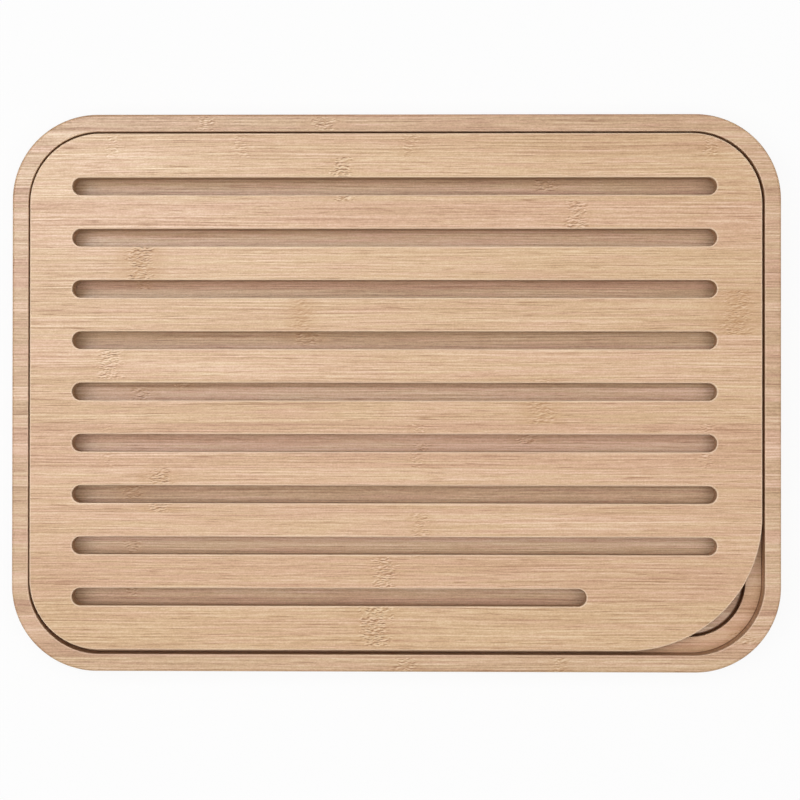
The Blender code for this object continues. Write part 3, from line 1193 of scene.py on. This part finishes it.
@dataclass
class RubberFeet:
    """Round rubber pads under the corners of the tray, one pad copied to each corner."""

    finish: bpy.types.Material
    edge_radius: float = 0.7 * MM
    band: float = 0.2 * MM
    edge_steps: int = 4
    turn_steps: int = 48

    NODES = ("foot_front_left", "foot_front_right", "foot_back_left", "foot_back_right")

    def build(self) -> bpy.types.Object:
        """Model and dress the feet.

        Returns:
            The feet as one piece, riding on the tray's body.
        """
        low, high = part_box(self.NODES[0])
        far_low, far_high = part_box(self.NODES[-1])
        model = NodeModel("rubber_pads")
        pad_radius = model.entry("Pad Radius", (high.x - low.x) / 2)
        thickness = model.entry("Thickness", high.z - low.z)
        radius = model.entry("Edge Radius", self.edge_radius)
        band = model.entry("Edge Band", self.band)
        spread_x = model.entry("Spacing Along", far_low.x - low.x)
        spread_y = model.entry("Spacing Across", far_low.y - low.y)
        middle = (low + far_high) / 2
        place = model.entry("Middle of the four pads", Vector((middle.x, middle.y, low.z)))
        tree = model.tree
        inset = add_node(tree, MATH, {0: radius, 1: band}, operation="ADD")
        face_radius = add_node(tree, MATH, {0: pad_radius, 1: inset}, operation="SUBTRACT")
        wall, face = (
            add_node(
                tree, "GeometryNodeCurvePrimitiveCircle", {"Resolution": self.turn_steps, "Radius": reach}
            )
            for reach in (pad_radius, face_radius)
        )
        section = model.section(thickness, radius, band, self.edge_steps)
        pad = model.slab(wall, face, section, thickness)
        corners = add_node(
            tree, "GeometryNodeMeshGrid",
            {"Size X": spread_x, "Size Y": spread_y, "Vertices X": 2, "Vertices Y": 2},
        )
        pads = add_node(tree, "GeometryNodeInstanceOnPoints", {"Points": corners, "Instance": pad})
        placed = add_node(tree, TRANSFORM, {"Geometry": pads, "Translation": place})
        piece = model.finish(placed, self.finish)
        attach(piece, "tray")
        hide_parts(*self.NODES)
        return piece


@dataclass(frozen=True)
class SoftPanel:
    """One area light, turned towards the middle of the board; a sheen card shows only in the gloss."""

    name: str
    place: tuple[float, float, float]
    size: tuple[float, float]
    watts: float
    sheen_only: bool = False

    def turn(self) -> Euler:
        """Face the board, with the panel's length kept along the board's.

        Returns:
            The panel's rotation.
        """
        back = Vector(self.place).normalized()
        side = (Vector((1, 0, 0)) - back * back.x).normalized()
        return Matrix((side, back.cross(side), back)).transposed().to_euler()


@dataclass
class Studio:
    """White paper under the board, a long soft panel and a sheen card above it, and the camera overhead."""

    paper: bpy.types.Material
    panels: tuple[SoftPanel, ...] = (
        SoftPanel("long_panel_overhead", (-0.12, 0.03, 1.5), (2.2, 1.15), 23.6),
        SoftPanel("sheen_card_back_left", (-0.45, 0.4, 1.3), (0.35, 0.35), 9.0, sheen_only=True),
    )
    camera_place: Vector = field(default_factory=lambda: Vector((17.0, -9.3, 1023.3)) * MM)
    camera_turn: tuple[float, float, float] = (0.32, 0.842, 0.059)
    focal_px: float = 1923.0
    clip: tuple[float, float] = (0.01, 20.0)
    floor_side: float = 6.0
    surround: float = 0.2

    def build(self) -> None:
        """Lay the floor, hang the lights and set the camera."""
        bpy.context.scene.view_settings.view_transform = "Standard"
        self._floor()
        self._lights()
        self._camera()

    def _floor(self) -> None:
        """One large sheet at the height that the feet stand on."""
        bm = bmesh.new()
        bmesh.ops.create_grid(bm, x_segments=1, y_segments=1, size=self.floor_side / 2)
        mesh = bpy.data.meshes.new("paper_sweep")
        bm.to_mesh(mesh)
        bm.free()
        mesh.materials.append(self.paper)
        floor = bpy.data.objects.new("paper_sweep", mesh)
        bpy.context.scene.collection.objects.link(floor)

    def _lights(self) -> None:
        """Hang the panels and light the surround evenly."""
        for panel in self.panels:
            lamp = bpy.data.lights.new(panel.name, "AREA")
            lamp.shape = "RECTANGLE"
            lamp.size, lamp.size_y = panel.size
            lamp.energy = panel.watts
            holder = bpy.data.objects.new(panel.name, lamp)
            holder.location = panel.place
            holder.rotation_euler = panel.turn()
            holder.visible_diffuse = not panel.sheen_only
            bpy.context.scene.collection.objects.link(holder)

        world = bpy.data.worlds.new("studio_surround")
        world.use_nodes = True
        tree = world.node_tree
        tree.nodes.clear()
        ray = add_node(tree, "ShaderNodeLightPath").outputs
        seen = add_node(
            tree, MATH, {0: ray["Is Camera Ray"], 1: ray["Is Transmission Ray"]}, operation="MAXIMUM"
        )
        dim = add_node(tree, "ShaderNodeBackground", {"Color": linear("FFFFFF"), "Strength": self.surround})
        white = add_node(tree, "ShaderNodeBackground", {"Color": linear("FFFFFF"), "Strength": 1.0})
        mixed = add_node(tree, "ShaderNodeMixShader", {0: seen, 1: dim, 2: white})
        add_node(tree, "ShaderNodeOutputWorld", {"Surface": mixed})
        bpy.context.scene.world = world

    def _camera(self) -> None:
        """Camera over the board, as the picture was taken."""
        lens = bpy.data.cameras.new("overhead_camera")
        lens.sensor_width = SENSOR_MM
        lens.lens = self.focal_px / PICTURE_SIDE_PX * SENSOR_MM
        lens.clip_start, lens.clip_end = self.clip
        camera = bpy.data.objects.new("overhead_camera", lens)
        camera.location = self.camera_place
        camera.rotation_euler = Euler([math.radians(a) for a in self.camera_turn], "XYZ")
        bpy.context.scene.collection.objects.link(camera)
        bpy.context.scene.camera = camera


def stave_bamboo() -> OiledBamboo:
    """Wide staves pressed flat, in two plies: the grid's pale, fine-grained bamboo."""
    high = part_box("bread_grid")[1]
    return OiledBamboo(
        name="flat_pressed_bamboo",
        dark="AE8460",
        base="D6B18E",
        pale="F3DABE",
        pink_wash="FFF5F3",
        honey_wash="FDFBEC",
        lamella_mm=STAVE_MM,
        first_seam_mm=-131.7,
        ply_mm=5.05,
        ply_shift_mm=9.0,
        top_mm=high.z / MM,
        layers=(
            Grain(0.9, 0.6, 0.34, 0.0),
            Grain(3.5, 0.6, 0.26, 0.0),
            Grain(11.0, 0.6, 0.3, 0.0),
            Grain(80.0, 0.62, 0.5, 0.0),
            Grain(170.0, 5.0, 0.26, 1.0),
        ),
        knuckles=STAVE_KNUCKLES,
        vein_strength=0.25,
        lamella_tone=0.12,
        lamella_slope=0.06,
        seam_strength=0.3,
        # Slot walls drawn darker: router scorching with painted shade.
        scorch_and_shade=0.28,
        seed=11.0,
    )


def strip_bamboo() -> OiledBamboo:
    """Narrow strips on edge: the tray's bamboo, with a step of tone every few millimetres."""
    low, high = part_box("crumb_tray")
    return OiledBamboo(
        name="edge_pressed_bamboo",
        dark="A37A5B",
        base="D2AD8E",
        pale="F0D6BD",
        pink_wash="FFF5F2",
        honey_wash="FBFBEC",
        lamella_mm=STRIP_MM,
        first_seam_mm=low.y / MM,
        ply_mm=1000.0,
        ply_shift_mm=0.0,
        top_mm=high.z / MM,
        layers=(
            Grain(0.9, 0.6, 0.32, 0.0),
            Grain(3.5, 0.6, 0.26, 0.0),
            Grain(11.0, 0.6, 0.3, 0.0),
            Grain(60.0, 0.62, 0.42, 0.0),
            Grain(150.0, 5.0, 0.25, 1.0),
        ),
        knuckles=STRIP_KNUCKLES,
        vein_strength=0.15,
        lamella_tone=0.25,
        lamella_slope=0.2,
        seam_strength=0.25,
        # Milled walls, their feet, the ledge and the step drawn darker: scorching and painted shade.
        scorch_and_shade=1.0,
        seed=47.0,
    )


def main() -> None:
    """Build the tray, the feet, the grid and the studio."""
    logging.basicConfig(level=logging.INFO, format="%(name)s: %(message)s")
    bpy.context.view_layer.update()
    assemblies = (
        CrumbTray(strip_bamboo().build()),
        RubberFeet(MouldedRubber().build()),
        BreadGrid(stave_bamboo().build()),
    )
    for assembly in assemblies:
        piece = assembly.build()
        log.info("%s: %d faces", piece.name, len(piece.data.polygons))
    Studio(PaperSweep().build()).build()


if __name__ == "__main__":
    main()
